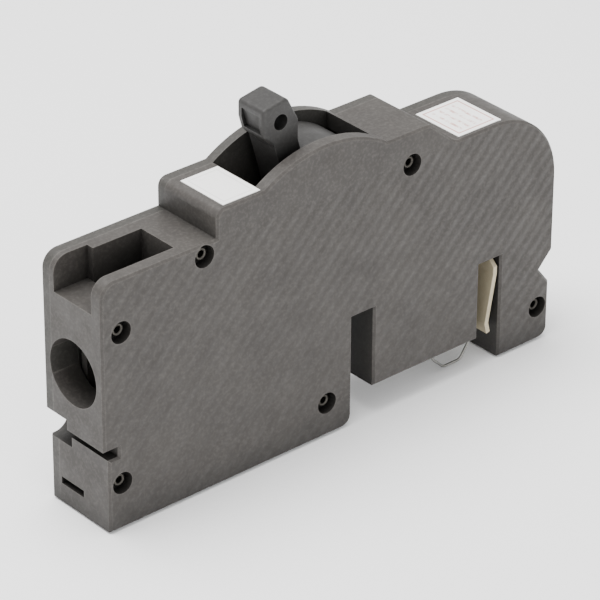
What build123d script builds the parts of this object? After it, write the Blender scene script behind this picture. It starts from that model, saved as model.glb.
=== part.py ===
from build123d import *
import math
import os

# A single-pole plug-in circuit breaker, lying on its mounting side.
# +X runs from the wire terminal to the bus jaw, +Y from the tray to its cover, +Z up to the handle.
# The origin is at the middle of the bottom. All sizes are in millimetres.

# ---- overall sizes ----
case_length = 123.0
case_thickness = 19.0
ledge_height = 57.2
hump_height = 63.5

# ---- shell walls ----
side_wall = 2.0
rim_wall = 2.2
cover_thickness = 2.7
edge_round = 0.5

# ---- stations measured from the terminal end ----
foot_setback = 1.1
first_slot_start = 65.4
first_slot_width = 6.0
first_slot_height = 25.7
label_block_start = 29.3
handle_station = 58.1
ramp_start = 86.1
ramp_run = 7.4

# ---- stations measured from the line end ----
foot_width = 15.5
foot_relief = 0.7
foot_height = 13.4
foot_notch_depth = 3.7
foot_notch_height = 17.2
foot_notch_top = 21.2
second_slot_width = 6.1
second_slot_height = 24.9
middle_bottom = 6.8
line_corner_radius = 18.0
ledge_corner_radius = 3.5
block_corner_radius = 2.0
bottom_corner_radius = 2.5
ramp_corner_radius = 1.5
foot_corner_radius = 1.0

# ---- raised walls beside the handle ----
guard_radius = 30.0
guard_center_height = 38.4
opening_near_wall = 3.0
opening_run_past_pivot = 13.9

# ---- rail hook at the terminal end ----
hook_slot_bottom = 17.0
hook_slot_height = 2.2
hook_slot_depth = 3.7
hook_recess_depth = 5.6
hook_recess_height = 6.9
hook_recess_width = 7.0
foot_slit_height = 1.6
foot_slit_width = 7.2
foot_slit_depth = 3.0
foot_slit_level = 5.2
foot_slit_far_margin = 3.3

# ---- wire terminal ----
wire_hole_radius = 7.4
wire_hole_height = 33.5
pocket_end = 20.7
pocket_shelf_run = 8.5
pocket_floor = 49.7
pocket_near_wall = 3.1
pocket_far_wall = 4.0
pocket_far_step = 1.8
well_rise = 1.4
lug_nest_drop = 1.8
lug_nest_lip = 1.5
lug_start = 7.0
lug_length = 13.0
lug_width = 12.4
lug_wall = 1.6
lug_roof = 6.0
lug_edge = 0.8
lug_top = 44.0
clamp_screw_radius = 3.0
clamp_screw_top = 48.3
clamp_pad_thickness = 1.6
clamp_pad_inset = 1.0
clamp_edge = 0.4
screw_slot_width = 1.0
screw_slot_depth = 1.4
strap_thickness = 1.5
strap_width = 8.0
strap_drop_run = 7.0
strap_toe = 2.0

# ---- handle ----
pivot_height = 47.0
handle_throw = 32.0
handle_width = 8.0
handle_head_radius = 32.9
handle_head_half = 4.4
handle_neck_half = 2.86
handle_edge_round = 0.6
dish_depth = 0.8
dish_height = 4.4
dish_width = 5.3
dish_reach = 29.2
tie_hole_radius = 1.75
tie_hole_reach = 28.0
hub_radius = 5.0
pivot_pin_radius = 1.5
drum_radius = 19.5
drum_thickness = 2.4
drum_width = 12.4
drum_end_angle = 48.0

# ---- contact arm ----
arm_pivot_reach = 6.0
arm_thickness = 2.6
arm_depth = 3.0
arm_open_slope = 1.18
arm_pin_radius = 0.9
ear_radius = 2.6
contact_radius = 2.0
contact_height = 1.2
contact_offset = 17.4
contact_gap = 0.3
arm_nose_half = 2.4
arm_bend_run = 4.5
arm_bend_rise = 1.4

# ---- trip unit, measured from the terminal end ----
bimetal_station = 36.9
bimetal_thickness = 1.0
bimetal_width = 6.0
bimetal_top_drop = 7.0
strap_bottom = 3.5
yoke_bottom = 17.0
yoke_top = 29.0
yoke_wall = 1.2
yoke_reach = 4.6
yoke_play = 0.4
armature_station = 42.3
armature_thickness = 1.0
armature_pin_height = 12.0
armature_shoulder = 31.0
latch_rise = 0.8
armature_width = 10.0
latch_overhang = 0.2
hinge_wall = 1.0
calibration_radius = 1.2
calibration_height = 10.0
calibration_length = 12.0
calibration_head_radius = 2.16
calibration_head_height = 2.0
calibration_slot_width = 0.7
calibration_slot_depth = 0.8

# ---- cradle ----
cradle_offset = 22.4
cradle_thickness = 1.6
cradle_tip_drop = 6.0
cradle_tip_half = 1.2
cradle_hub_radius = 2.6
cradle_ear_rise = 6.6
cradle_ear_half = 1.4
cradle_waist_run = 6.0
cradle_waist_rise = 2.2
cradle_bend_run = 3.0
cradle_bend_top = -0.5
cradle_bend_bottom = -4.2
cradle_tab_half = 1.0
cradle_side_play = 0.4
cradle_pin_radius = 1.0
spring_offset = 12.4
spring_radius = 1.7
spring_wire = 0.6
spring_turns = 7
spring_rise = 1.0

# ---- flexible braid ----
braid_radius = 1.0
braid_bend = 3.0
braid_drop = 3.0
braid_sag = 3.5
braid_rise_run = 6.5

# ---- arc chamber ----
chute_offset = 27.4
chute_length = 12.0
chute_plate = 1.2
chute_count = 5
liner_thickness = 0.8
liner_play = 0.2
liner_lift = 1.0
liner_margin = 1.5
liner_headroom = 1.6
chute_notch_radius = 3.0

# ---- bus jaw ----
jaw_thickness = 1.0
jaw_tip_height = 7.0
jaw_grip = 1.0
jaw_grip_rise = 2.4
jaw_flare_out = 0.6
jaw_shoulder_right = 0.7
jaw_shoulder_drop = 4.0
jaw_side_margin = 0.4
jaw_wide_drop = 2.3
jaw_neck_drop = 0.5
spring_rod = 0.6
spring_rod_inset = 3.2
spring_rod_low = 1.2
spring_rod_back = 10.2
spring_rod_end_drop = 7.0
spring_rod_lead = 2.6
spring_rod_tail = 3.2
spring_rod_bend = 1.6
spring_rod_tail_rise = 6.0

# ---- rivets and labels ----
rivet_radius = 1.3
rivet_head_radius = 1.7
rivet_head_height = 1.3
rivet_cover_head_height = 1.0
recess_radius = 2.45
recess_depth = 2.6
post_wall = 1.6
cover_recess_depth = 1.2
label_thickness = 0.3
label_sink = 0.2
label_near_margin = 1.2
label_far_margin = 4.6
rating_label_length = 9.6
notice_label_length = 12.0
notice_label_setback = 1.7

# ---- clearances, and how far a cut runs on past a face ----
fit = 0.05
running = 0.05
tight = 0.02
gap = 0.3
past = 1.0

# ---- places worked out from the sizes above ----
load_end = -case_length / 2
line_end = case_length / 2
near_face = -case_thickness / 2
far_face = case_thickness / 2
cavity_near = near_face + side_wall
cavity_far = far_face - cover_thickness
foot_face = load_end + foot_setback
first_slot_left = load_end + first_slot_start
first_slot_right = first_slot_left + first_slot_width
foot_left = line_end - foot_width
second_slot_left = foot_left - second_slot_width
pivot_x = load_end + handle_station
block_left = load_end + label_block_start
ramp_top_x = load_end + ramp_start
ramp_foot_x = ramp_top_x + ramp_run
guard_half_chord = math.sqrt(guard_radius ** 2 - (hump_height - guard_center_height) ** 2)
opening_left = pivot_x - guard_half_chord
opening_right = pivot_x + opening_run_past_pivot
tilt = handle_throw / 2
lug_left = load_end + lug_start
lug_right = lug_left + lug_length
lug_middle = (lug_left + lug_right) / 2
strap_seat = max(first_slot_height, second_slot_height) + rim_wall
bimetal_left = load_end + bimetal_station
armature_left = load_end + armature_station
cradle_x = pivot_x + cradle_offset
cradle_height = pivot_height
cradle_tip_height = cradle_height - cradle_tip_drop
armature_top = cradle_tip_height + latch_rise
bimetal_top = pivot_height - bimetal_top_drop
spring_x = pivot_x + spring_offset
cradle_near = handle_width / 2 + cradle_side_play
chute_left = pivot_x + chute_offset
liner_bottom = strap_seat + strap_thickness + liner_lift
liner_top = ledge_height - rim_wall - liner_headroom
liner_half_width = min(-cavity_near, cavity_far) - liner_play
chute_pitch = (liner_top - liner_bottom - 2 * liner_margin) / chute_count
contact_x = pivot_x + contact_offset
rivet_places = [
    (load_end + 26.0, ledge_height - 2.7),
    (load_end + 4.8, ledge_height - 11.9),
    (load_end + 4.4, 10.7),
    (first_slot_left - 6.9, 7.8),
    (ramp_top_x - 4.9, hump_height - 7.5),
    (line_end - 4.1, 8.2),
]


def slab(face, low, high):
    """Extrude a face drawn in X and Z between two Y stations."""
    return extrude(Plane.XZ.offset(-high) * face, amount=high - low)


def block(x_low, x_high, y_low, y_high, z_low, z_high):
    """A box given by its six sides."""
    size = (x_high - x_low, y_high - y_low, z_high - z_low)
    middle = ((x_low + x_high) / 2, (y_low + y_high) / 2, (z_low + z_high) / 2)
    return Pos(*middle) * Box(*size)


def rod(x, z, radius, y_low, y_high):
    """A cylinder along Y."""
    return slab(Pos(x, z) * Circle(radius), y_low, y_high)


def polygon(points):
    """A face in X and Z through the given corners."""
    return make_face(Polyline(*points, close=True))


def rounded(face, corners):
    """Round the corners of a face that lie nearest to the given points."""
    for x, z, radius in corners:
        vertex = min(face.vertices(), key=lambda v: (v.X - x) ** 2 + (v.Y - z) ** 2)
        face = fillet(vertex, radius)
    return face


def strip(points, thickness):
    """A bent strip of even thickness along a line of points in X and Z."""
    shape = None
    for start, end in zip(points[:-1], points[1:]):
        length = math.dist(start, end)
        angle = math.degrees(math.atan2(end[1] - start[1], end[0] - start[0]))
        middle = ((start[0] + end[0]) / 2, (start[1] + end[1]) / 2)
        piece = Pos(*middle) * Rot(0, 0, angle) * Rectangle(length, thickness)
        shape = piece if shape is None else shape + piece
    for point in points[1:-1]:
        shape = shape + Pos(*point) * Circle(thickness / 2)
    return shape


def turned(shape, x, z, angle):
    """Turn a shape about a line along +Y through a point."""
    return shape.rotate(Axis((x, 0, z), (0, 1, 0)), angle)


def turned_point(point, centre, angle):
    """Turn a point in X and Z about a centre, positive from +Z towards +X."""
    a = math.radians(angle)
    x = point[0] - centre[0]
    z = point[1] - centre[1]
    return (centre[0] + x * math.cos(a) + z * math.sin(a), centre[1] - x * math.sin(a) + z * math.cos(a))


def case_outline():
    """The side view of the case."""
    hook_top = hook_slot_bottom + hook_slot_height
    points = [
        (foot_face, 0),
        (first_slot_left, 0),
        (first_slot_left, first_slot_height),
        (first_slot_right, first_slot_height),
        (first_slot_right, middle_bottom),
        (second_slot_left, middle_bottom),
        (second_slot_left, second_slot_height),
        (foot_left, second_slot_height),
        (foot_left, 0),
        (line_end - foot_relief, 0),
        (line_end - foot_relief, foot_height),
        (line_end - foot_notch_depth, foot_notch_height),
        (line_end, foot_notch_top),
        (line_end, ledge_height),
        (ramp_foot_x, ledge_height),
        (ramp_top_x, hump_height),
        (block_left, hump_height),
        (block_left, ledge_height),
        (load_end, ledge_height),
        (load_end, hook_top),
        (load_end + hook_slot_depth, hook_top),
        (load_end + hook_slot_depth, hook_slot_bottom),
        (foot_face, hook_slot_bottom),
    ]
    corners = [
        (first_slot_left, 0, bottom_corner_radius),
        (line_end - foot_relief, 0, bottom_corner_radius),
        (line_end - foot_relief, foot_height, foot_corner_radius),
        (line_end, foot_notch_top, foot_corner_radius),
        (line_end, ledge_height, line_corner_radius),
        (ramp_foot_x, ledge_height, 2 * ramp_corner_radius),
        (ramp_top_x, hump_height, ramp_corner_radius),
        (block_left, hump_height, block_corner_radius),
        (load_end, ledge_height, ledge_corner_radius),
    ]
    return rounded(polygon(points), corners)


def guard_segment(radius):
    """The part of the guard circle that stands above the hump's top."""
    disc = Pos(pivot_x, guard_center_height) * Circle(radius)
    keep = Pos(pivot_x, hump_height + guard_radius / 2 - 1) * Rectangle(2 * guard_radius, guard_radius)
    return disc & keep


def opening_face():
    """The long opening that the handle comes out of."""
    height = guard_radius
    middle = (opening_left + opening_right) / 2
    return Pos(middle, hump_height) * Rectangle(opening_right - opening_left, height)


def cavity_face():
    """The hollow inside the tray, less its solid corners and the terminal block."""
    hollow = offset(case_outline(), -rim_wall, kind=Kind.INTERSECTION)
    block_right = load_end + pocket_end + rim_wall
    solid_corners = [
        (load_end, block_right, lug_top + gap, hump_height),
        (load_end, lug_right + lug_nest_lip, 0, lug_seat()),
        (load_end, lug_left - gap, 0, hump_height),
        (foot_left - rim_wall, line_end, 0, foot_notch_top + rim_wall),
        (lug_right + gap, lug_right + gap + side_wall, lug_seat() + 2 * strap_thickness, hump_height),
    ]
    for x_low, x_high, z_low, z_high in solid_corners:
        middle = ((x_low + x_high) / 2, (z_low + z_high) / 2)
        hollow = hollow - Pos(*middle) * Rectangle(x_high - x_low, z_high - z_low)
    return hollow


def lug_seat():
    """Height of the plastic floor under the lug's strap."""
    return lug_top - lug_roof - 2 * wire_hole_radius - lug_nest_drop


def hook_cut():
    """The rounded recess of the rail hook, on the cover's side."""
    middle = hook_slot_bottom + hook_slot_height / 2
    radius = hook_recess_height / 2
    straight = hook_recess_depth - radius
    face = Pos(load_end + straight / 2 - past, middle) * Rectangle(straight + 2 * past, hook_recess_height)
    face = face + Pos(load_end + straight, middle) * Circle(radius)
    return slab(face, far_face - hook_recess_width, far_face + past)


def wire_hole():
    """The round hole that the wire goes in through."""
    run = lug_start - gap
    place = Pos(load_end + (run - past) / 2, 0, wire_hole_height) * Rot(0, 90, 0)
    return place * Cylinder(wire_hole_radius, run + past)


def terminal_pocket():
    """The open pocket above the terminal, and the well down to the clamp screw."""
    end = load_end + pocket_end
    shelf = load_end + pocket_shelf_run
    near = near_face + pocket_near_wall
    far = far_face - pocket_far_wall
    top = ledge_height + past
    cut = block(load_end - past, shelf, near, far, pocket_floor, top)
    cut = cut + block(shelf - fit, end, near, far - pocket_far_step, lug_top + well_rise, top)
    hole = Cylinder(clamp_screw_radius + gap, lug_top, align=(Align.CENTER, Align.CENTER, Align.MIN))
    return cut + Pos(lug_middle, 0, lug_top - lug_roof) * hole


def label_sinks():
    """Shallow seats for the two labels."""
    near = near_face + label_near_margin
    far = far_face - label_far_margin
    rating_end = opening_left - gap
    cut = block(rating_end - rating_label_length - fit, rating_end + fit, near - fit, far + fit,
                hump_height - label_sink, hump_height + past)
    start = notice_label_start()
    return cut + block(start - fit, start + notice_label_length + fit, near - fit, far + fit,
                       ledge_height - label_sink, ledge_height + past)


def notice_label_start():
    """Where the label on the line end's top starts."""
    return ramp_foot_x + notice_label_setback


def pin_sockets(x, z, radius):
    """Blind holes in the tray wall and in the cover for one pivot pin."""
    return rod(x, z, radius + fit, cavity_near - side_wall / 2, cavity_far + cover_thickness / 2)


def all_pin_sockets():
    """The sockets of every pivot pin."""
    cut = pin_sockets(pivot_x, pivot_height, pivot_pin_radius)
    cut = cut + pin_sockets(cradle_x, cradle_height, cradle_pin_radius)
    return cut + pin_sockets(armature_left + armature_thickness / 2, armature_pin_height, cradle_pin_radius)


def shell_blank(inner, outer):
    """The case outline from an inner Y station to an outer one, with its outer edge broken."""
    outline = case_outline() + guard_segment(guard_radius)
    smaller = offset(outline, -edge_round, kind=Kind.INTERSECTION)
    step = math.copysign(edge_round, outer - inner)
    bevel_base = Plane.XZ.offset(step - outer) * outline
    bevel_top = Plane.XZ.offset(-outer) * smaller
    bevel = loft([bevel_base.faces()[0], bevel_top.faces()[0]], ruled=True)
    return bevel + slab(outline, min(inner, outer - step), max(inner, outer - step))


def front_shell():
    """The deep moulded tray that holds the mechanism."""
    shell = shell_blank(cavity_far, near_face)
    shell = shell - slab(cavity_face(), cavity_near, cavity_far + past)
    for x, z in rivet_places:
        post = (Pos(x, z) * Circle(recess_radius + post_wall)) & case_outline()
        post = slab(post, near_face + edge_round, cavity_far)
        shell = shell + post
    shell = shell - slab(opening_face(), near_face + opening_near_wall, cavity_far + past)
    shell = shell - block(lug_left - gap, lug_right + fit, -lug_width / 2 - fit, cavity_far + past,
                          lug_seat(), lug_top + fit)
    for x, z in rivet_places:
        shell = shell - rod(x, z, rivet_radius + fit, near_face - past, cavity_far + past)
        shell = shell - rod(x, z, recess_radius, near_face - past, near_face + recess_depth)
    slit_far = far_face - foot_slit_far_margin
    shell = shell - block(foot_face - past, foot_face + foot_slit_depth, slit_far - foot_slit_width, slit_far,
                          foot_slit_level - foot_slit_height / 2, foot_slit_level + foot_slit_height / 2)
    window = block(second_slot_left, foot_left, cavity_near, cavity_far + past,
                   second_slot_height - past, strap_seat)
    rod_holes = Pos(spring_rod_x(), 0, middle_bottom) * Cylinder(spring_rod, 3 * rim_wall)
    shell = shell - window - Pos(0, rod_near_y(), 0) * rod_holes - Pos(0, rod_far_y(), 0) * rod_holes
    return shell - hook_cut() - wire_hole() - terminal_pocket() - label_sinks() - all_pin_sockets()


def rear_cover():
    """The flat moulded cover that closes the tray."""
    cover = shell_blank(cavity_far, far_face)
    for x, z in rivet_places:
        cover = cover - rod(x, z, rivet_radius + fit, cavity_far - past, far_face + past)
        cover = cover - rod(x, z, recess_radius, far_face - cover_recess_depth, far_face + past)
    return cover - hook_cut() - wire_hole() - all_pin_sockets()


def case_rivets():
    """Tubular rivets that hold the cover to the tray."""
    rivets = []
    near_seat = near_face + recess_depth
    far_seat = far_face - cover_recess_depth
    for x, z in rivet_places:
        rivet = rod(x, z, rivet_radius, near_seat - rivet_head_height, far_seat + rivet_cover_head_height)
        rivet = rivet + rod(x, z, rivet_head_radius, near_seat - rivet_head_height, near_seat)
        rivet = rivet + rod(x, z, rivet_head_radius, far_seat, far_seat + rivet_cover_head_height)
        bore = rod(x, z, rivet_radius / 2, near_seat - rivet_head_height, near_seat)
        rivets.append(rivet - bore)
    return rivets


def rating_label():
    """The plain label beside the handle."""
    end = opening_left - gap
    low = hump_height - label_sink
    return block(end - rating_label_length, end, near_face + label_near_margin, far_face - label_far_margin,
                 low, low + label_thickness)


def notice_label():
    """The plain label on the line end."""
    start = notice_label_start()
    low = ledge_height - label_sink
    near = near_face + label_near_margin
    far = far_face - label_far_margin
    return block(start, start + notice_label_length, near, far, low, low + label_thickness)


def handle_side_face():
    """The handle's head, neck and hub seen from the side, upright over the pivot."""
    half = handle_head_half
    corners = [
        (-handle_neck_half, 2.2 * half, 0),
        (-half, 1.5 * half, 0.8),
        (-half, 0.8 * half, 1.0),
        (-0.77 * half, 0, 1.0),
        (0.72 * half, 0.16 * half, 1.4),
        (half, 1.6 * half, 2.0),
        (handle_neck_half, 2.8 * half, 0),
    ]
    head = [(x, handle_head_radius - drop) for x, drop, radius in corners]
    face = polygon([(-handle_neck_half, 0), *head, (handle_neck_half, 0)])
    face = rounded(face, [(x, handle_head_radius - drop, radius) for x, drop, radius in corners if radius])
    return face + Circle(hub_radius)


def drum_face():
    """The curved shield that fills the opening behind the handle."""
    ring = Circle(drum_radius) - Circle(drum_radius - drum_thickness)
    end = math.radians(drum_end_angle + tilt)
    reach = 2 * drum_radius
    sector = [
        (0, 0),
        (0, reach),
        (reach * math.sin(end / 2), reach * math.cos(end / 2)),
        (reach * math.sin(end), reach * math.cos(end)),
    ]
    return ring & polygon(sector)


def handle():
    """The moulded toggle handle, leaning to its off side."""
    half_width = handle_width / 2
    body = slab(handle_side_face(), -half_width, half_width)
    head_start = handle_head_radius - 2 * handle_head_half
    outline = [e for e in body.edges() if abs(e.tangent_at(0.5).Y) < 0.01 and e.center().Z > head_start]
    body = fillet(outline, handle_edge_round)
    body = body + slab(drum_face(), -drum_width / 2, drum_width / 2)
    ears = Pos(0, -arm_pivot_reach) * Circle(ear_radius) + Pos(0, -arm_pivot_reach / 2) * Rectangle(
        2 * ear_radius, arm_pivot_reach)
    body = body + slab(ears, -half_width, half_width)
    fork = arm_thickness / 2 + gap
    body = body - slab(Pos(0, -arm_pivot_reach) * Circle(ear_radius + gap), -fork, fork)
    ear_end = -arm_pivot_reach - 2 * ear_radius
    body = body - block(-2 * ear_radius, 2 * ear_radius, -fork, fork, ear_end, -arm_pivot_reach)
    body = body - rod(0, 0, pivot_pin_radius + running, -handle_width, handle_width)
    body = body - rod(0, -arm_pivot_reach, arm_pin_radius + tight, -handle_width, handle_width)
    body = body - rod(0, tie_hole_reach, tie_hole_radius, -handle_width, handle_width)
    dish = block(-2 * handle_head_half, dish_depth - handle_head_half, -dish_width / 2, dish_width / 2,
                 dish_reach - dish_height / 2, dish_reach + dish_height / 2)
    body = body - dish
    return Pos(pivot_x, 0, pivot_height) * Rot(0, -tilt, 0) * body


def arm_pivot_at_rest():
    """Where the contact arm hangs on the handle with the handle off."""
    below = (pivot_x, pivot_height - arm_pivot_reach)
    return turned_point(below, (pivot_x, pivot_height), -tilt)


def arm_pivot_closed():
    """Where the contact arm hangs on the handle with the handle on."""
    below = (pivot_x, pivot_height - arm_pivot_reach)
    return turned_point(below, (pivot_x, pivot_height), tilt)


def contact_face():
    """Height of the gap's lower side, which is the top of the stationary contact."""
    return strap_seat + strap_thickness + contact_height


def arm_line():
    """The contact arm's centre line, with the contacts closed."""
    height = contact_face() + contact_gap + contact_height + arm_depth / 2
    bend = (contact_x - arm_bend_run, height + arm_bend_rise)
    return [arm_pivot_closed(), bend, (contact_x, height), (contact_x + arm_nose_half, height)]


def arm_swing():
    """How far the arm turns from closed to open, so that it ends almost level."""
    pivot, bend = arm_line()[:2]
    return math.degrees(math.atan2(pivot[1] - bend[1], bend[0] - pivot[0])) - arm_open_slope


def arm_to_rest(shape):
    """Carry a shape drawn with the contacts closed back to the open position."""
    pivot = arm_pivot_at_rest()
    opened = turned(shape, pivot_x, pivot_height, -handle_throw)
    return turned(opened, pivot[0], pivot[1], handle_throw - arm_swing())


def arm_height_at(x):
    """Height of the open arm's centre line at a station between its pivot and its bend."""
    pivot = arm_pivot_at_rest()
    bend = turned_point(arm_line()[1], (pivot_x, pivot_height), -handle_throw)
    bend = turned_point(bend, pivot, handle_throw - arm_swing())
    share = (x - pivot[0]) / (bend[0] - pivot[0])
    return pivot[1] + share * (bend[1] - pivot[1])


def contact_arm():
    """The moving blade that carries the moving contact."""
    x, z = arm_pivot_closed()
    end_height = arm_line()[-1][1]
    blade = strip(arm_line(), arm_depth)
    blade = blade + Pos(x, z) * Circle(ear_radius - gap)
    arm = slab(blade, -arm_thickness / 2, arm_thickness / 2)
    pad = block(contact_x - arm_nose_half, contact_x + arm_nose_half, -contact_radius, contact_radius,
                end_height - arm_depth / 2, end_height)
    arm = arm + pad - rod(x, z, arm_pin_radius + running, -arm_thickness, arm_thickness)
    return arm_to_rest(arm)


def moving_contact():
    """The silver button on the contact arm."""
    low = contact_face() + contact_gap
    button = Cylinder(contact_radius, contact_height, align=(Align.CENTER, Align.CENTER, Align.MIN))
    return arm_to_rest(Pos(contact_x, 0, low) * button)


def arm_pin():
    """The pin that joins the contact arm to the handle."""
    x, z = arm_pivot_at_rest()
    return rod(x, z, arm_pin_radius, -handle_width / 2, handle_width / 2)


def pivot_pin(x, z, radius):
    """A steel pin that sits in both shells."""
    return rod(x, z, radius, cavity_near - side_wall / 2 + fit, cavity_far + cover_thickness / 2 - fit)


def stationary_contact():
    """The silver button on the line strap."""
    button = Cylinder(contact_radius, contact_height, align=(Align.CENTER, Align.CENTER, Align.MIN))
    return Pos(contact_x, 0, strap_seat + strap_thickness) * button


def line_strap():
    """The flat copper strap from the stationary contact to the bus jaw."""
    return block(contact_x - 1.5 * contact_radius, foot_left - gap, -strap_width / 2, strap_width / 2,
                 strap_seat, strap_seat + strap_thickness)


def jaw_back_x():
    """X of the middle of the jaw's straight leg, clear of the wire spring beside it."""
    return second_slot_left + gap + jaw_thickness / 2


def bus_jaw():
    """The sprung copper clip that plugs onto the bus bar, with a straight leg and a leaning one."""
    top = strap_seat - jaw_thickness / 2
    back = jaw_back_x()
    grip = back + jaw_thickness + jaw_grip
    shoulder = foot_left - jaw_shoulder_right - jaw_thickness / 2
    bend = second_slot_height - jaw_shoulder_drop
    middle = (back + shoulder) / 2
    near = cavity_near + gap
    far = cavity_far - gap
    half_left = strip([(back, jaw_tip_height), (back, top), (middle, top)], jaw_thickness)
    mouth = (grip, jaw_tip_height + jaw_grip_rise)
    flare = (grip + jaw_flare_out, jaw_tip_height)
    half_right = strip([(middle, top), (shoulder, top), (shoulder, bend), mouth, flare], jaw_thickness)
    neck = second_slot_height - jaw_neck_drop
    wide = second_slot_height - jaw_wide_drop
    side = case_thickness / 2 - jaw_side_margin
    leaning = [
        (near, strap_seat),
        (near, neck),
        (-side, wide),
        (-side, 0),
        (side, 0),
        (side, wide),
        (far, neck),
        (far, strap_seat),
    ]
    slit_near = rod_near_y() + spring_rod / 2 + gap
    slit_far = rod_far_y() - spring_rod / 2 - gap
    straight = [
        (near, strap_seat),
        (near, second_slot_height),
        (slit_near, neck),
        (slit_near, 0),
        (slit_far, 0),
        (slit_far, neck),
        (far, second_slot_height),
        (far, strap_seat),
    ]
    clip = slab(half_left, -side, side) & across(straight)
    return clip + (slab(half_right, -side, side) & across(leaning))


def across(points):
    """A block across the second slot with the given outline in Y and Z."""
    return extrude(Plane.YZ.offset(second_slot_left) * polygon(points), amount=second_slot_width)


def rod_near_y():
    """Y of the wire spring's near limb."""
    return near_face + spring_rod_inset


def rod_far_y():
    """Y of the wire spring's far limb."""
    return cavity_far - spring_rod_inset / 2


def spring_rod_x():
    """X where the wire spring goes up into the case."""
    return second_slot_left - spring_rod_back


def jaw_spring():
    """The bent wire that squeezes the jaw, looping out under the case."""
    slot_x = second_slot_left + spring_rod / 2 + gap / 2
    back_x = spring_rod_x()
    high = middle_bottom + spring_rod_tail_rise
    limb = [
        (slot_x, second_slot_height - spring_rod_end_drop),
        (slot_x, middle_bottom - spring_rod_bend - gap),
        (slot_x - spring_rod_lead, spring_rod_low),
        (back_x + spring_rod_tail, spring_rod_low),
        (back_x, middle_bottom - spring_rod_lead),
        (back_x, high),
    ]
    points = [(x, rod_near_y(), z) for x, z in limb]
    points = points + [(x, rod_far_y(), z) for x, z in reversed(limb)]
    path = FilletPolyline(*points, radius=spring_rod_bend)
    start = Plane(origin=points[0], z_dir=(0, 0, -1))
    return sweep(start * Circle(spring_rod / 2), path=path)


def terminal_lug():
    """The plated box lug that the wire is clamped in."""
    seat = lug_seat() + strap_thickness
    lug = block(lug_left, lug_right, -lug_width / 2, lug_width / 2, seat, lug_top)
    lug = chamfer(lug.edges().filter_by(Axis.X), lug_edge)
    window = block(lug_left - past, lug_right + past, -lug_width / 2 + lug_wall, lug_width / 2 - lug_wall,
                   seat + lug_wall, lug_top - lug_roof)
    hole = Pos(lug_middle, 0, lug_top) * Cylinder(clamp_screw_radius + running, 4 * lug_roof)
    roof = block(lug_left, lug_right, -lug_width, lug_width, lug_top - lug_roof - past, lug_top + past)
    return lug - window - (hole & roof)


def clamp_pad():
    """The plate under the screw that presses on the wire."""
    half_width = lug_width / 2 - lug_wall - gap
    top = lug_top - lug_roof - gap
    low = top - clamp_pad_thickness
    pad = block(lug_left + clamp_pad_inset, lug_right - clamp_pad_inset, -half_width, half_width, low, top)
    return chamfer(pad.edges().filter_by(Axis.Y), clamp_edge)


def clamp_screw():
    """The slotted screw of the terminal."""
    low = lug_top - lug_roof - gap
    height = clamp_screw_top - low
    screw = Pos(lug_middle, 0, low + height / 2) * Cylinder(clamp_screw_radius, height)
    screw = chamfer(screw.edges().sort_by(Axis.Z)[-1], clamp_edge)
    slot = Box(3 * clamp_screw_radius, screw_slot_width, 2 * screw_slot_depth)
    return screw - Pos(lug_middle, 0, clamp_screw_top) * slot


def load_strap():
    """The bent copper strap from the lug to the foot of the bimetal."""
    seat = lug_seat() + strap_thickness / 2
    down = bimetal_left - strap_drop_run
    low = strap_bottom + strap_thickness / 2
    path = [(lug_left, seat), (down, seat), (down, low), (bimetal_left + strap_toe, low)]
    strap = slab(strip(path, strap_thickness), -strap_width / 2, strap_width / 2)
    hole = Rot(0, 90, 0) * Cylinder(calibration_radius + tight, 4 * strap_thickness)
    return strap - Pos(down, 0, calibration_height) * hole


def bimetal_strip():
    """The two-metal strip that bends when it heats up."""
    low = strap_bottom + strap_thickness
    return block(bimetal_left, bimetal_left + bimetal_thickness, -bimetal_width / 2, bimetal_width / 2,
                 low, bimetal_top)


def calibration_screw():
    """The factory-set screw that bears on the bimetal."""
    start = bimetal_left - calibration_length
    end = bimetal_left - gap / 3
    head_start = start - calibration_head_height
    lying = Rot(0, 90, 0)
    shank = Pos((start + end) / 2, 0, calibration_height) * lying * Cylinder(calibration_radius, end - start)
    head = Pos((head_start + start) / 2, 0, calibration_height) * lying * Cylinder(
        calibration_head_radius, calibration_head_height)
    slot = Pos(head_start, 0, calibration_height) * Box(
        2 * calibration_slot_depth, 4 * calibration_head_radius, calibration_slot_width)
    return shank + head - slot


def magnet_yoke():
    """The U of soft iron round the bimetal."""
    half = bimetal_width / 2 + yoke_play + yoke_wall
    back = bimetal_left - yoke_wall
    yoke = block(back, back + yoke_reach, -half, half, yoke_bottom, yoke_top)
    return yoke - block(bimetal_left, bimetal_left + 2 * yoke_reach, -half + yoke_wall, half - yoke_wall,
                        yoke_bottom - past, yoke_top + past)


def armature():
    """The iron plate that the magnet pulls, with its latch arm."""
    right = armature_left + armature_thickness
    pin_x = (armature_left + right) / 2
    half = armature_width / 2
    latch_near = cradle_near - latch_overhang
    latch_far = cradle_near + cradle_thickness + latch_overhang
    plate = block(armature_left, right, -half, half, armature_pin_height, armature_shoulder)
    plate = plate + block(armature_left, right, latch_near, latch_far, armature_shoulder, armature_top)
    plate = plate + rod(pin_x, armature_pin_height, cradle_pin_radius + hinge_wall, -half, half)
    bore = cradle_pin_radius + running
    return plate - rod(pin_x, armature_pin_height, bore, -armature_width, armature_width)


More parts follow.
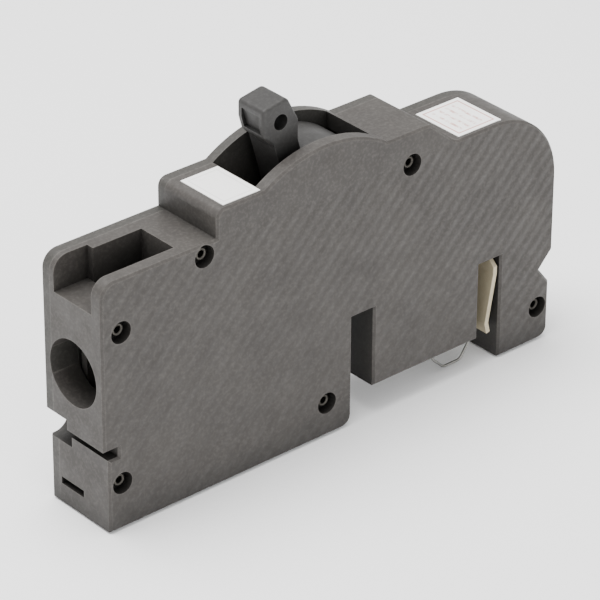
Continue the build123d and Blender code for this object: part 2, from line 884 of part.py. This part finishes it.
def cradle():
    """The latched lever that holds the spring's upper end."""
    tip = armature_left + armature_thickness + gap
    bend = spring_x - cradle_bend_run
    ear_top = cradle_height + cradle_ear_rise
    points = [
        (tip, cradle_tip_height - cradle_tip_half),
        (tip, cradle_tip_height + cradle_tip_half),
        (bend, cradle_height + cradle_bend_top),
        (spring_x - cradle_ear_half, ear_top),
        (spring_x + cradle_ear_half, ear_top),
        (cradle_x - cradle_waist_run, cradle_height + cradle_waist_rise),
        (cradle_x, cradle_height + cradle_hub_radius),
        (cradle_x, cradle_height - cradle_hub_radius),
        (bend, cradle_height + cradle_bend_bottom),
    ]
    face = polygon(points) + Pos(cradle_x, cradle_height) * Circle(cradle_hub_radius)
    far = cradle_near + cradle_thickness
    lever = slab(face, cradle_near, far)
    lever = lever + block(spring_x - cradle_tab_half, spring_x + cradle_tab_half, -cradle_tab_half, far,
                          ear_top - cradle_ear_half, ear_top)
    return lever - rod(cradle_x, cradle_height, cradle_pin_radius + running, 0, far_face)


def toggle_spring():
    """The coil spring between the cradle and the contact arm."""
    low = arm_height_at(spring_x) + arm_depth / 2 + spring_rise
    high = cradle_height + cradle_ear_rise - cradle_ear_half - gap - spring_wire / 2
    height = high - low
    path = Helix(pitch=height / spring_turns, height=height, radius=spring_radius)
    section = Plane(origin=path @ 0, z_dir=path % 0) * Circle(spring_wire / 2)
    coil = sweep(section, path=path, is_frenet=True)
    return Pos(spring_x, 0, low) * coil


def flexible_braid():
    """The soft copper braid from the bimetal to the contact arm."""
    start = bimetal_left + bimetal_thickness
    end_x, end_z = arm_pivot_at_rest()
    high = bimetal_top - braid_drop
    low = high - braid_sag
    end_x = end_x + braid_radius
    points = [
        (start, 0, high),
        (start + 2 * braid_bend, 0, high),
        (start + 2 * braid_bend + 2 * braid_sag, 0, low),
        (end_x, 0, low),
        (end_x + braid_rise_run, 0, end_z - arm_depth / 2 - braid_radius),
    ]
    path = FilletPolyline(*points, radius=braid_bend)
    section = Plane(origin=points[0], z_dir=(1, 0, 0)) * Circle(braid_radius)
    return sweep(section, path=path)


def arc_plates():
    """Steel plates that split and cool the arc."""
    half = liner_half_width - liner_thickness
    plates = []
    for index in range(chute_count):
        low = liner_bottom + liner_margin + index * chute_pitch
        plate = block(chute_left, chute_left + chute_length, -half, half, low, low + chute_plate)
        notch = Pos(chute_left, 0, low) * Cylinder(chute_notch_radius, 4 * chute_plate)
        plates.append(plate - notch)
    return plates


def arc_liner():
    """The folded fibre card that holds the arc plates."""
    outer = liner_half_width
    inner = outer - liner_thickness
    end = chute_left + chute_length
    card = block(chute_left, end + liner_thickness, -outer, outer, liner_bottom, liner_top)
    return card - block(chute_left - past, end, -inner, inner, liner_bottom - past, liner_top + past)


def write(name, shape):
    """Write one node, as one solid or as a group of solids."""
    if isinstance(shape, list):
        shape = Compound(children=shape)
    export_step(shape, f"parts/{name}.step")


def main():
    """Build every piece and write it."""
    os.makedirs("parts", exist_ok=True)
    armature_pin_x = armature_left + armature_thickness / 2
    pieces = {
        "front_shell": front_shell(),
        "rear_cover": rear_cover(),
        "case_rivets": case_rivets(),
        "rating_label": rating_label(),
        "notice_label": notice_label(),
        "handle": handle(),
        "handle_pin": pivot_pin(pivot_x, pivot_height, pivot_pin_radius),
        "contact_arm": contact_arm(),
        "arm_pin": arm_pin(),
        "moving_contact": moving_contact(),
        "stationary_contact": stationary_contact(),
        "line_strap": line_strap(),
        "bus_jaw": bus_jaw(),
        "jaw_spring": jaw_spring(),
        "terminal_lug": terminal_lug(),
        "clamp_pad": clamp_pad(),
        "clamp_screw": clamp_screw(),
        "load_strap": load_strap(),
        "bimetal_strip": bimetal_strip(),
        "calibration_screw": calibration_screw(),
        "magnet_yoke": magnet_yoke(),
        "armature": armature(),
        "armature_pin": pivot_pin(armature_pin_x, armature_pin_height, cradle_pin_radius),
        "cradle": cradle(),
        "cradle_pin": pivot_pin(cradle_x, cradle_height, cradle_pin_radius),
        "toggle_spring": toggle_spring(),
        "flexible_braid": flexible_braid(),
        "arc_plates": arc_plates(),
        "arc_liner": arc_liner(),
    }
    for name, shape in pieces.items():
        write(name, shape)


main()
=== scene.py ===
import bpy
import math
import numpy as np
from mathutils import Matrix, Vector


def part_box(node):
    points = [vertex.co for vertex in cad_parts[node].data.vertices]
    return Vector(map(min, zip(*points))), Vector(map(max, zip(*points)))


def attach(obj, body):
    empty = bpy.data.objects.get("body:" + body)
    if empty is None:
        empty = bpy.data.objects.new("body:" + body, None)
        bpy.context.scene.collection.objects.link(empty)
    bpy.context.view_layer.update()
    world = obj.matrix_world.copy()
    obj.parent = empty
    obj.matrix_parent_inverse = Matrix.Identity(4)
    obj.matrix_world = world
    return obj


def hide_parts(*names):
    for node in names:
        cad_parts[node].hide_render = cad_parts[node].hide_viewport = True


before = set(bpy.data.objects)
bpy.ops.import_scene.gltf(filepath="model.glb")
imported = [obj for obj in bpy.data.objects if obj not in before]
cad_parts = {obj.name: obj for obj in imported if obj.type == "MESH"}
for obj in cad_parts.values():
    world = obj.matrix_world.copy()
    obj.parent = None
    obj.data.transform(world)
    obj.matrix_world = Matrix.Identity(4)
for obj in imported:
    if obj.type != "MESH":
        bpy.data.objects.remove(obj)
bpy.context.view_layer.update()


# ---- The two case halves ----
# A deep tray and a flat cover, compression-moulded in dark grey phenolic. The moulding is satin,
# a little mottled, and paler at its edges, partly from wear by rubbing and partly as a painted highlight;
# its recesses carry painted shade. The tray's and the cover's broad faces
def linear(hex_code):
    """An sRGB hex colour as linear RGBA."""
    channels = [int(hex_code[i:i + 2], 16) / 255 for i in (1, 3, 5)]
    return tuple(c / 12.92 if c < 0.04045 else ((c + 0.055) / 1.055) ** 2.4 for c in channels) + (1.0,)


def add(tree, kind, settings=None, **links):
    """Add a shader node with its settings and its inputs. An input given as a socket is linked."""
    made = tree.nodes.new(kind)
    for name, value in (settings or {}).items():
        setattr(made, name, value)
    for name, value in links.items():
        key = int(name[1:]) if name[0] == "i" and name[1:].isdigit() else name.replace("_", " ")
        socket = made.inputs[key]
        if isinstance(value, bpy.types.NodeSocket):
            tree.links.new(value, socket)
        else:
            socket.default_value = value
    return made


def noise(tree, place, per_metre, detail=3.0, rough=0.55):
    """Fractal noise with a given number of features per metre."""
    made = add(tree, "ShaderNodeTexNoise", Vector=place, Scale=per_metre, Detail=detail, Roughness=rough)
    return made.outputs["Fac"]


def math_node(tree, operation, a, b=0.0, clamp=False):
    """One arithmetic step."""
    return add(tree, "ShaderNodeMath", {"operation": operation, "use_clamp": clamp}, i0=a, i1=b).outputs[0]


def span(tree, value, low, high, start=0.0, end=1.0):
    """Carry a value from one range to another, and clamp it there."""
    made = add(tree, "ShaderNodeMapRange", {"clamp": True}, i0=value, i1=low, i2=high, i3=start, i4=end)
    return made.outputs[0]


def product(tree, *values):
    """The product of several values."""
    total = values[0]
    for value in values[1:]:
        total = math_node(tree, "MULTIPLY", total, value)
    return total


def blend_colour(tree, share, first, second):
    """Mix two colours, each a hex code or a socket."""
    mixer = add(tree, "ShaderNodeMix", {"data_type": "RGBA"}, i0=share)
    for socket, colour in ((mixer.inputs[6], first), (mixer.inputs[7], second)):
        if isinstance(colour, str):
            socket.default_value = linear(colour)
        else:
            tree.links.new(colour, socket)
    return mixer.outputs[2]


def new_material(name):
    """An empty node material, its tree, its shader and its object coordinates."""
    made = bpy.data.materials.new(name)
    made.use_nodes = True
    tree = made.node_tree
    tree.nodes.clear()
    shader = add(tree, "ShaderNodeBsdfPrincipled")
    add(tree, "ShaderNodeOutputMaterial", Surface=shader.outputs[0])
    place = add(tree, "ShaderNodeTexCoord").outputs["Object"]
    return made, tree, shader, place


def edge_share(tree, radius):
    """How close a point is to a sharp outer edge, from 0 on a flat face to 1 on the edge."""
    soft = add(tree, "ShaderNodeBevel", {"samples": 4}, Radius=radius).outputs[0]
    true_normal = add(tree, "ShaderNodeNewGeometry").outputs["Normal"]
    dot = add(tree, "ShaderNodeVectorMath", {"operation": "DOT_PRODUCT"}, i0=soft, i1=true_normal)
    return span(tree, dot.outputs["Value"], 0.995, 0.8)


def shelter(tree, reach):
    """How enclosed a point is, from 0 in the open to 1 deep in a recess narrower than the reach."""
    openness = add(tree, "ShaderNodeAmbientOcclusion", {"samples": 8}, Distance=reach).outputs["AO"]
    return span(tree, openness, 0.85, 0.2)


def relief(tree, height, depth, strength=1.0, normal=None):
    """Turn a height from 0 to 1 into a bumped normal, for a relief of a given depth in metres."""
    made = add(tree, "ShaderNodeBump", Height=height, Distance=depth, Strength=strength)
    if normal is not None:
        tree.links.new(normal, made.inputs["Normal"])
    return made.outputs[0]


texture_top = 0.0572
texture_pitch = 0.0027
texture_depth = 0.00026
texture_fade = 0.0008
cross_share = 0.7
outer_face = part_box("rear_cover")[1][1]


def crossed_texture(tree, place, grain):
    """Add the crossed diagonal relief to a grain, on the broad outer faces and below the hump only."""
    parts = add(tree, "ShaderNodeSeparateXYZ", Vector=place)
    x, y, z = parts.outputs
    waves = []
    for share, sign in ((1.0, "SUBTRACT"), (cross_share, "ADD")):
        across = texture_pitch * math.sqrt(2)
        along = math_node(tree, "MULTIPLY", math_node(tree, sign, x, z), 2 * math.pi / across)
        waves.append(math_node(tree, "MULTIPLY", math_node(tree, "SINE", along), 0.25 * share))
    height = math_node(tree, "ADD", math_node(tree, "ADD", waves[0], waves[1]), 0.5)
    facing = add(tree, "ShaderNodeSeparateXYZ", Vector=add(tree, "ShaderNodeNewGeometry").outputs["Normal"])
    flat = span(tree, math_node(tree, "ABSOLUTE", facing.outputs[1]), 0.95, 0.99)
    below = span(tree, z, texture_top, texture_top - texture_fade)
    outside = span(tree, math_node(tree, "ABSOLUTE", y), outer_face - 0.0002, outer_face - 0.0001)
    bumped = relief(tree, height, texture_depth, 1.0, grain)
    tree.links.new(product(tree, flat, below, outside), bumped.node.inputs["Strength"])
    return bumped


def moulding(name, base, dark, pale_wear_and_highlight, textured=False, roughness=(0.45, 0.62), edge=0.00045, recess=0.012):
    """A moulded phenolic, with mottling, fine grain, pale edges that are partly wear from rubbing and partly
    a painted highlight, and painted shade darkening its recesses.
    """
    made, tree, shader, place = new_material(name)
    shader.inputs["Specular IOR Level"].default_value = 0.3
    mottle = span(tree, noise(tree, place, 90, 4), 0.35, 0.65)
    speck = span(tree, noise(tree, place, 1500, 2), 0.45, 0.75)
    colour = blend_colour(tree, product(tree, mottle, 0.55), base, dark)
    colour = blend_colour(tree, product(tree, speck, 0.18), colour, pale_wear_and_highlight)
    scuffs = span(tree, noise(tree, place, 420, 5, 0.7), 0.38, 0.62, 0.25, 1.0)
    shade_mask = shelter(tree, recess)
    # Pale edges: wear from rubbing mixed with a painted highlight, kept off the shaded recesses.
    worn_edge_and_highlight = product(tree, edge_share(tree, edge), scuffs, span(tree, shade_mask, 0.5, 0.1))
    colour = blend_colour(tree, product(tree, worn_edge_and_highlight, 0.55), colour, pale_wear_and_highlight)
    # Painted shade: the sheltered recesses are darkened towards near-black.
    colour = blend_colour(tree, product(tree, shade_mask, 0.9), colour, "#0c0c0b")
    tree.links.new(colour, shader.inputs["Base Color"])
    rough = span(tree, noise(tree, place, 240, 3), 0.3, 0.7, *roughness)
    tree.links.new(rough, shader.inputs["Roughness"])
    grain = relief(tree, noise(tree, place, 2600, 2), 0.00002, 0.35)
    if textured:
        grain = crossed_texture(tree, place, grain)
    tree.links.new(grain, shader.inputs["Normal"])
    return made


def dress(node, material):
    """Give a CAD node its material."""
    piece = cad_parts[node]
    piece.data.materials.clear()
    piece.data.materials.append(material)
    return piece


shell_moulding = moulding("grey_phenolic_tray", "#3d3a37", "#33302e", "#726e6a", textured=True)
cover_moulding = moulding("grey_phenolic_cover", "#3b3936", "#31302d", "#706d69", textured=True)
dress("front_shell", shell_moulding)
dress("rear_cover", cover_moulding)


# ---- The rivets ----
# Six tubular steel rivets clamp the halves together. Each has a low domed head against the cover and an
# open end that is rolled outwards at the bottom of a deep recess in the tray. They are zinc plated and dull.
def metal(name, base, dark, edge_highlight, roughness=(0.3, 0.5), grain=(1, 1, 1), streak=0.3, metallic=1.0,
          shade_strength=0.8):
    """A metal with a drawing or rolling grain stretched by the given scales, dull patches, a painted
    highlight on its edges and painted shade where it is sheltered."""
    made, tree, shader, place = new_material(name)
    shader.inputs["Metallic"].default_value = metallic
    stretched = add(tree, "ShaderNodeMapping", Vector=place, Scale=grain).outputs[0]
    lines = span(tree, noise(tree, stretched, 2200, 3, 0.6), 0.3, 0.7)
    patches = span(tree, noise(tree, place, 260, 4), 0.4, 0.68)
    colour = blend_colour(tree, product(tree, lines, streak), base, dark)
    colour = blend_colour(tree, product(tree, patches, 0.5), colour, dark)
    # Painted highlight: sharp edges are lightened towards the highlight colour.
    colour = blend_colour(tree, product(tree, edge_share(tree, 0.0002), 0.7), colour, edge_highlight)
    # Painted shade: sheltered spots are darkened towards near-black.
    colour = blend_colour(tree, product(tree, shelter(tree, 0.006), shade_strength), colour, "#171614")
    tree.links.new(colour, shader.inputs["Base Color"])
    rough = math_node(tree, "ADD", product(tree, lines, 0.5), product(tree, patches, 0.5))
    tree.links.new(span(tree, rough, 0, 1, *roughness), shader.inputs["Roughness"])
    tree.links.new(relief(tree, lines, 0.00002, 0.3), shader.inputs["Normal"])
    return made


def tube(name, points, material):
    """A closed mesh from a grid of points, rows by columns. The last column joins the first, and the first
    and last rows are filled with a fan about their mean points."""
    rows, columns = points.shape[:2]
    index = np.arange(rows * columns).reshape(rows, columns)
    index = np.hstack([index, index[:, :1]])
    corners = [index[:-1, :-1], index[:-1, 1:], index[1:, 1:], index[1:, :-1]]
    quads = np.stack(corners, -1).reshape(-1, 4)
    vertices = points.reshape(-1, 3)
    faces = quads.tolist()
    for row, flip in ((0, False), (rows - 1, True)):
        centre = len(vertices)
        vertices = np.vstack([vertices, points[row].mean(0)])
        ring = index[row]
        pairs = zip(ring[1:], ring[:-1]) if flip else zip(ring[:-1], ring[1:])
        faces += [[int(b), int(a), centre] for a, b in pairs]
    mesh = bpy.data.meshes.new(name)
    mesh.from_pydata(vertices.tolist(), [], faces)
    mesh.polygons.foreach_set("use_smooth", np.ones(len(mesh.polygons), bool))
    mesh.materials.append(material)
    mesh.validate()
    made = bpy.data.objects.new(name, mesh)
    bpy.context.scene.collection.objects.link(made)
    return made


def joined(name, pieces):
    """Join pieces of one kind into one object."""
    offset = 0
    vertices = []
    faces = []
    for piece in pieces:
        count = len(piece.data.vertices)
        flat = np.empty(count * 3)
        piece.data.vertices.foreach_get("co", flat)
        vertices.append(flat.reshape(-1, 3))
        faces += [[v + offset for v in polygon.vertices] for polygon in piece.data.polygons]
        offset += count
    mesh = bpy.data.meshes.new(name)
    mesh.from_pydata(np.vstack(vertices).tolist(), [], faces)
    mesh.polygons.foreach_set("use_smooth", np.ones(len(mesh.polygons), bool))
    mesh.materials.append(pieces[0].data.materials[0])
    for piece in pieces:
        old = piece.data
        bpy.data.objects.remove(piece)
        bpy.data.meshes.remove(old)
    made = bpy.data.objects.new(name, mesh)
    bpy.context.scene.collection.objects.link(made)
    return made


def vertices_of(node):
    """A CAD node's vertices at rest, in metres."""
    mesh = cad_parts[node].data
    flat = np.empty(len(mesh.vertices) * 3)
    mesh.vertices.foreach_get("co", flat)
    return flat.reshape(-1, 3)


def groups_of(node, reach):
    """The vertices of a CAD node, split into groups that stand further apart than reach in X and Z."""
    left = vertices_of(node)
    groups = []
    while len(left):
        seed = left[0]
        near = np.hypot(left[:, 0] - seed[0], left[:, 2] - seed[2]) < reach
        groups.append(left[near])
        left = left[~near]
    return groups


lathe_segments = 48


def lathe_y(name, profile, x, z, material):
    """Turn a profile of (radius, y) about the line along Y through x and z. The ends lie on that line."""
    angle = np.linspace(0, 2 * np.pi, lathe_segments, endpoint=False)
    radius, y = np.array(profile).T
    points = np.empty((len(radius), lathe_segments, 3))
    points[..., 0] = x + radius[:, None] * np.cos(angle)
    points[..., 1] = y[:, None]
    points[..., 2] = z + radius[:, None] * np.sin(angle)
    return tube(name, points, material)


def arc_points(centre_r, centre_y, radius, start, end, count):
    """Points of (radius, y) along an arc, with its angles in degrees from outward towards +Y."""
    angle = np.radians(np.linspace(start, end, count))
    return [(centre_r + radius * math.cos(a), centre_y + radius * math.sin(a)) for a in angle]


# The rivets sit deep in their recesses, so the painted shade makes them nearly black.
rivet_zinc = metal("dull_zinc_rivets", "#5d5a55", "#3f3d3a", "#8a8781", (0.42, 0.62), shade_strength=0.9)
rolled_head = 0.0013
domed_head = 0.001
dome_rise = 0.0005
head_lip = 0.00002
socket_depth = 0.0032
shank_share = 0.68
bore_share = 0.46
rivets = []
for group in groups_of("case_rivets", 0.003):
    low, high = group.min(0), group.max(0)
    x, z = (low[0] + high[0]) / 2, (low[2] + high[2]) / 2
    head = (high[0] - low[0]) / 2
    bore = bore_share * head
    roll = (head - bore) / 2
    tray_end, cover_end = low[1], high[1]
    dome_edge = cover_end - dome_rise
    profile = [(0.00005, tray_end + socket_depth), (bore, tray_end + socket_depth - 0.0002)]
    profile += arc_points(head - roll, tray_end + roll, roll, 180, 360, 13)
    profile += [(head, tray_end + rolled_head - head_lip), (0.7 * head, tray_end + rolled_head)]
    profile += [(shank_share * head, cover_end - domed_head), (head, cover_end - domed_head + head_lip)]
    profile += [(head, dome_edge)]
    profile += [(head * math.cos(a), dome_edge + dome_rise * math.sin(a)) for a in np.linspace(0.1, 1.55, 8)]
    rivets.append(lathe_y("rivet", profile, x, z, rivet_zinc))
rivet_set = joined("rolled_rivets", rivets)
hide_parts("case_rivets")
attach(rivet_set, "case")


# ---- The two labels ----
# Plain coated-paper labels in shallow seats on the top, a little soiled, with a faint frame line. The one
# near the bus jaw also has plain faded rules.
frame_inset = 0.0011
rule_pitch = 0.0019


def label_paper(node, name, line_colour, line_share, rules=0.0):
    """Coated paper with faint fibres and soiling, a thin frame line just inside the label's edge, and plain
    faded rules across it."""
    made, tree, shader, place = new_material(name)
    low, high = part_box(node)
    fibres = span(tree, noise(tree, place, 3000, 3), 0.35, 0.65)
    soil = span(tree, noise(tree, place, 180, 5, 0.65), 0.5, 0.8)
    colour = blend_colour(tree, product(tree, fibres, 0.3), "#f8f7f4", "#eceae5")
    colour = blend_colour(tree, product(tree, soil, 0.35), colour, "#cfcbc3")
    parts = add(tree, "ShaderNodeSeparateXYZ", Vector=place)
    nearest = None
    for axis in (0, 1):
        for edge, sign in ((low[axis], 1.0), (high[axis], -1.0)):
            off = product(tree, math_node(tree, "SUBTRACT", parts.outputs[axis], edge), sign)
            nearest = off if nearest is None else math_node(tree, "MINIMUM", nearest, off)
    centre = math_node(tree, "ABSOLUTE", math_node(tree, "SUBTRACT", nearest, frame_inset))
    line = product(tree, span(tree, centre, 0.00022, 0.00012), line_share)
    colour = blend_colour(tree, line, colour, line_colour)
    if rules:
        wave = math_node(tree, "SINE", product(tree, parts.outputs[0], 2 * math.pi / rule_pitch))
        faded = span(tree, noise(tree, place, 700, 4, 0.7), 0.42, 0.6)
        inside = span(tree, nearest, 0.0018, 0.0022)
        printed = product(tree, span(tree, wave, 0.2, 0.6), faded, inside)
        colour = blend_colour(tree, product(tree, printed, rules), colour, line_colour)
    tree.links.new(colour, shader.inputs["Base Color"])
    shader.inputs["Roughness"].default_value = 0.5
    tree.links.new(relief(tree, fibres, 0.00001, 0.4), shader.inputs["Normal"])
    return made


dress("rating_label", label_paper("rating_label", "plain_label_paper", "#a9a7a2", 0.25))
dress("notice_label", label_paper("notice_label", "framed_label_paper", "#bd7b70", 0.85, 0.8))


# ---- The handle and its pins ----
# A near-black moulded toggle with a round tie hole, a dished thumb face and a curved shield behind it
# that fills the opening. It turns on a ground steel pin and carries the contact arm on a thinner one.
handle_moulding = moulding("black_phenolic", "#302f2e", "#232221", "#5e5d5b", roughness=(0.4, 0.55),
                           edge=0.0004, recess=0.014)
dress("handle", handle_moulding)
ground_pin = metal("ground_steel_pins", "#b3b3b1", "#8c8c8a", "#d8d8d6", (0.16, 0.3), (1, 8, 1))
for pin in ("handle_pin", "arm_pin", "armature_pin", "cradle_pin"):
    dress(pin, ground_pin)


# ---- The wire terminal ----
# A lug sawn from extruded aluminium and tin plated, with a slotted zinc-plated screw that drives a steel
# pad down on the wire.
lug_tin = metal("tin_plated_lug", "#b9b7b1", "#8e8b85", "#dddbd6", (0.3, 0.5), (1, 6, 6))
dress("terminal_lug", lug_tin)
screw_zinc = metal("zinc_plated_screws", "#a9a8a2", "#77756f", "#d3d2cc", (0.25, 0.45), (6, 6, 1))
dress("clamp_screw", screw_zinc)
dress("clamp_pad", screw_zinc)


# ---- The current path ----
# Stamped copper straps, brown with age, join the lug to the foot of the bimetal and the fixed contact to
# the bus jaw. The contacts are silver buttons with a matt, lightly pitted face.
strap_copper = metal("aged_copper_straps", "#b9754d", "#7a452b", "#e2a57c", (0.25, 0.5), (1, 6, 6))
dress("load_strap", strap_copper)
dress("line_strap", strap_copper)
dress("contact_arm", strap_copper)
contact_silver = metal("matt_silver_contacts", "#c9c8c4", "#96948f", "#e6e5e2", (0.4, 0.65))
dress("moving_contact", contact_silver)
dress("stationary_contact", contact_silver)


# ---- The bus jaw and its spring ----
# Two sprung legs of tin-plated copper, dull beige, squeezed by a bent loop of hard-drawn wire.
jaw_tin = metal("dull_tinned_copper", "#bdb297", "#9b917a", "#cbc1a6", (0.55, 0.75), (6, 6, 1),
                streak=0.35, metallic=0.35, shade_strength=0.25)
dress("bus_jaw", jaw_tin)
drawn_wire = metal("hard_drawn_wire", "#9a9994", "#6a6965", "#c8c7c2", (0.25, 0.4), (4, 4, 1))
dress("jaw_spring", drawn_wire)
dress("toggle_spring", drawn_wire)


# ---- The trip unit ----
# A strip of two rolled metals, a soft-iron yoke and armature in yellow zinc, and a factory-set screw.
bimetal = metal("rolled_bimetal", "#b3a68c", "#857a63", "#d8ccb2", (0.3, 0.45), (6, 6, 1))
dress("bimetal_strip", bimetal)
iron_zinc = metal("yellow_zinc_iron", "#a89a6c", "#776a45", "#cfc297", (0.3, 0.5))
for part in ("magnet_yoke", "armature", "cradle"):
    dress(part, iron_zinc)
dress("calibration_screw", screw_zinc)
dress("flexible_braid", strap_copper)


# ---- The arc chamber ----
# Notched steel plates, lightly blued, held in a folded card of grey vulcanised fibre.
plate_steel = metal("blued_arc_plates", "#6f7378", "#474b52", "#9ea2a6", (0.35, 0.55), (6, 1, 6))
dress("arc_plates", plate_steel)
liner_card, card_tree, card_shader, card_place = new_material("grey_fibre_card")
card_fibres = span(card_tree, noise(card_tree, card_place, 1800, 4, 0.7), 0.3, 0.7)
card_colour = blend_colour(card_tree, card_fibres, "#9a8f82", "#7d7266")
card_tree.links.new(card_colour, card_shader.inputs["Base Color"])
card_shader.inputs["Roughness"].default_value = 0.8
card_tree.links.new(relief(card_tree, card_fibres, 0.00004, 0.6), card_shader.inputs["Normal"])
dress("arc_liner", liner_card)


# ---- The view, the floor and the light ----
# A product shot from the terminal end, a little above, on a plain white sweep with soft light from above.
camera_data = bpy.data.cameras.new("camera")
camera_data.lens = 228.7
camera_data.sensor_width = 36.0
camera_data.clip_start = 0.05
camera_data.clip_end = 20.0
camera = bpy.data.objects.new("camera", camera_data)
bpy.context.scene.collection.objects.link(camera)
right = Vector((0.75643083, -0.65405564, 0.00485954))
down = Vector((-0.32426868, -0.38145603, -0.86564492))
ahead = Vector((0.56803364, 0.6532247, -0.50063486))
turn = Matrix((right, -down, -ahead)).transposed()
camera.matrix_world = Matrix.Translation((-0.449797, -0.514589, 0.422472)) @ turn.to_4x4()
bpy.context.scene.camera = camera

floor_mesh = bpy.data.meshes.new("floor")
floor_reach = 4.0
floor_height = -0.0004
floor_corners = [(-1, -1), (1, -1), (1, 1), (-1, 1)]
floor_points = [(x * floor_reach, y * floor_reach, floor_height) for x, y in floor_corners]
floor_mesh.from_pydata(floor_points, [], [(0, 1, 2, 3)])
floor = bpy.data.objects.new("floor", floor_mesh)
bpy.context.scene.collection.objects.link(floor)
floor_paint, floor_tree, floor_shader, floor_place = new_material("white_sweep")
floor_shader.inputs["Base Color"].default_value = linear("#fbfbfb")
floor_shader.inputs["Roughness"].default_value = 0.9
floor_mesh.materials.append(floor_paint)

world = bpy.data.worlds.new("studio")
world.use_nodes = True
world.node_tree.nodes["Background"].inputs[0].default_value = (1.0, 1.0, 1.0, 1.0)
world.node_tree.nodes["Background"].inputs[1].default_value = 1.3
bpy.context.scene.world = world


def soft_light(name, place, target, size, power):
    """A square soft box that faces a point."""
    data = bpy.data.lights.new(name, "AREA")
    data.shape = "SQUARE"
    data.size = size
    data.energy = power
    lamp = bpy.data.objects.new(name, data)
    lamp.location = place
    lamp.rotation_mode = "QUATERNION"
    lamp.rotation_quaternion = (Vector(target) - Vector(place)).to_track_quat("-Z", "Y")
    bpy.context.scene.collection.objects.link(lamp)
    return lamp


soft_light("top_box", (-0.1, 0.1, 0.7), (0, 0, 0.03), 0.5, 9.0)
soft_light("front_box", (-0.2, -0.8, 0.4), (0, 0, 0.03), 0.5, 1.8)
